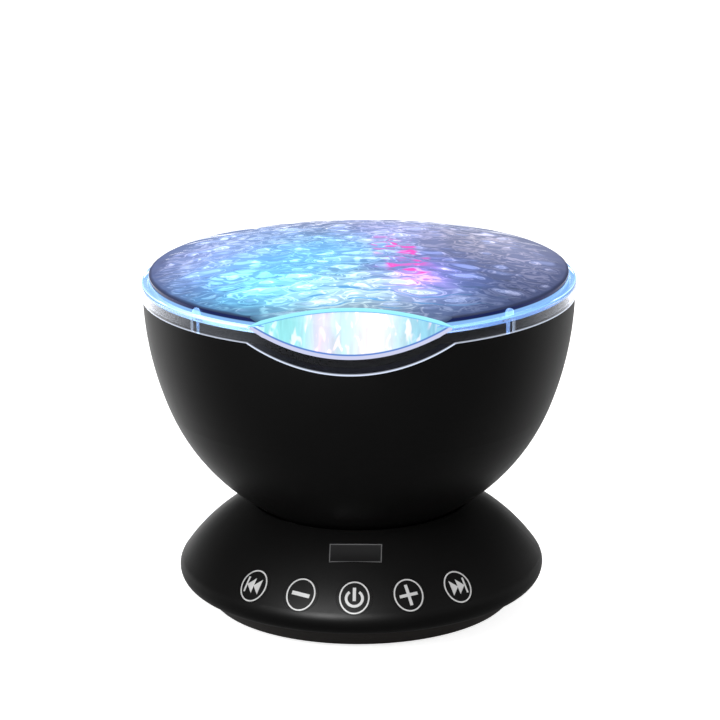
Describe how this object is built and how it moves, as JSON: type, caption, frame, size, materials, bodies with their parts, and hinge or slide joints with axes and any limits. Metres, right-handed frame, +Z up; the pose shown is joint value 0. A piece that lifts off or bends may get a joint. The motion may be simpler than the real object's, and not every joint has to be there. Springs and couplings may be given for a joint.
{
  "type": "ocean wave projector",
  "caption": "Bowl-shaped wave projector lamp with a clear rippled dome, tilting on a round saucer base with push keys, a receiver window and a speaker.",
  "frame": {"origin": "on the floor under the middle of the base", "axes": "+Z up; the keys and the cover's lip face -Y; +X is to the right seen from the front"},
  "size_m": [0.145, 0.145, 0.1224],
  "materials": {
    "satin_black": "satin moulded plastic",
    "plate_black": "matt moulded plastic, slightly warm",
    "foot_rubber": "matt",
    "screw_steel": "plated",
    "glide_nylon": "low-friction plastic",
    "window_clear": "smoked clear plastic",
    "circuit_green": "solder mask",
    "chip_black": "moulded",
    "capacitor_sleeve": "shrink sleeve",
    "socket_metal": "tinned",
    "speaker_steel": "black",
    "cone_paper": "paper cone",
    "magnet_grey": "ferrite",
    "icon_white": "inlaid print",
    "plunger_grey": "moulded",
    "cover_clear": "clear rippled plastic, lit from below",
    "disc_clear": "clear rippled plastic",
    "spindle_steel": "ground",
    "motor_metal": "zinc-plated can",
    "deck_white": "white moulded",
    "led_white": "lit lamp",
    "led_blue": "lit lamp",
    "led_red": "lit lamp",
    "gear_nylon": "natural nylon",
    "bush_brass": "turned"
  },
  "bodies": {
    "base": {"base_shell": "satin_black", "base_plate": "plate_black", "rubber_feet": "foot_rubber", "base_screws": "screw_steel", "glide_pads": "glide_nylon", "ir_window": "window_clear", "ir_board": "circuit_green", "ir_receiver": "chip_black", "main_board": "circuit_green", "board_screws": "screw_steel", "control_chips": "chip_black", "capacitors": "capacitor_sleeve", "power_socket": "socket_metal", "audio_jack": "chip_black", "speaker_frame": "speaker_steel", "speaker_cone": "cone_paper", "speaker_magnet": "magnet_grey", "switch_strip": "circuit_green", "tact_switches": "chip_black"},
    "head": {"bowl": "satin_black", "wave_cover": "cover_clear", "pivot_post": "spindle_steel", "friction_saddle": "glide_nylon", "clamp_spring": "spindle_steel", "clamp_nut": "spindle_steel", "lamp_deck": "deck_white", "deck_screws": "screw_steel", "lamp_board": "deck_white", "lamp_screws": "screw_steel", "white_leds": "led_white", "blue_leds": "led_blue", "red_leds": "led_red", "reflector": "deck_white", "gear_motor": "motor_metal", "motor_screws": "screw_steel", "disc_spindle": "spindle_steel", "spindle_clip": "spindle_steel"},
    "wave_rotor": {"wave_disc": "disc_clear", "disc_gear": "gear_nylon", "disc_bush": "bush_brass"},
    "pinion": {"motor_shaft": "spindle_steel", "drive_pinion": "gear_nylon"},
    "previous_key": {"previous_cap": "satin_black", "previous_icon": "icon_white", "previous_plunger": "plunger_grey"},
    "minus_key": {"minus_cap": "satin_black", "minus_icon": "icon_white", "minus_plunger": "plunger_grey"},
    "power_key": {"power_cap": "satin_black", "power_icon": "icon_white", "power_plunger": "plunger_grey"},
    "plus_key": {"plus_cap": "satin_black", "plus_icon": "icon_white", "plus_plunger": "plunger_grey"},
    "next_key": {"next_cap": "satin_black", "next_icon": "icon_white", "next_plunger": "plunger_grey"}
  },
  "joints": [
    {"name": "head_tilt", "type": "hinge", "parent": "base", "child": "head", "pos_m": [0, 0, 0.0952], "axis": [1, 0, 0], "range_deg": [-22.5, 22.5]},
    {"name": "disc_spin", "type": "hinge", "parent": "head", "child": "wave_rotor", "pos_m": [0, 0, 0.1], "axis": [0, 0, 1], "continuous": true},
    {"name": "pinion_spin", "type": "hinge", "parent": "head", "child": "pinion", "pos_m": [0, 0.052, 0.098], "axis": [0, 0, 1], "continuous": true},
    {"name": "previous_press", "type": "slide", "parent": "base", "child": "previous_key", "axis": [0.4453, 0.6267, -0.6395], "range_m": [0, 0.0007], "stiffness_N_per_m": 1500, "springref_m": -0.0003},
    {"name": "minus_press", "type": "slide", "parent": "base", "child": "minus_key", "axis": [0.2337, 0.7324, -0.6395], "range_m": [0, 0.0007], "stiffness_N_per_m": 1500, "springref_m": -0.0003},
    {"name": "power_press", "type": "slide", "parent": "base", "child": "power_key", "axis": [0, 0.7688, -0.6395], "range_m": [0, 0.0007], "stiffness_N_per_m": 1500, "springref_m": -0.0003},
    {"name": "plus_press", "type": "slide", "parent": "base", "child": "plus_key", "axis": [-0.2337, 0.7324, -0.6395], "range_m": [0, 0.0007], "stiffness_N_per_m": 1500, "springref_m": -0.0003},
    {"name": "next_press", "type": "slide", "parent": "base", "child": "next_key", "axis": [-0.4453, 0.6267, -0.6395], "range_m": [0, 0.0007], "stiffness_N_per_m": 1500, "springref_m": -0.0003}
  ],
  "couplings": [
    {"joint": "pinion_spin", "follows": "disc_spin", "ratio": -7.6667}
  ]
}
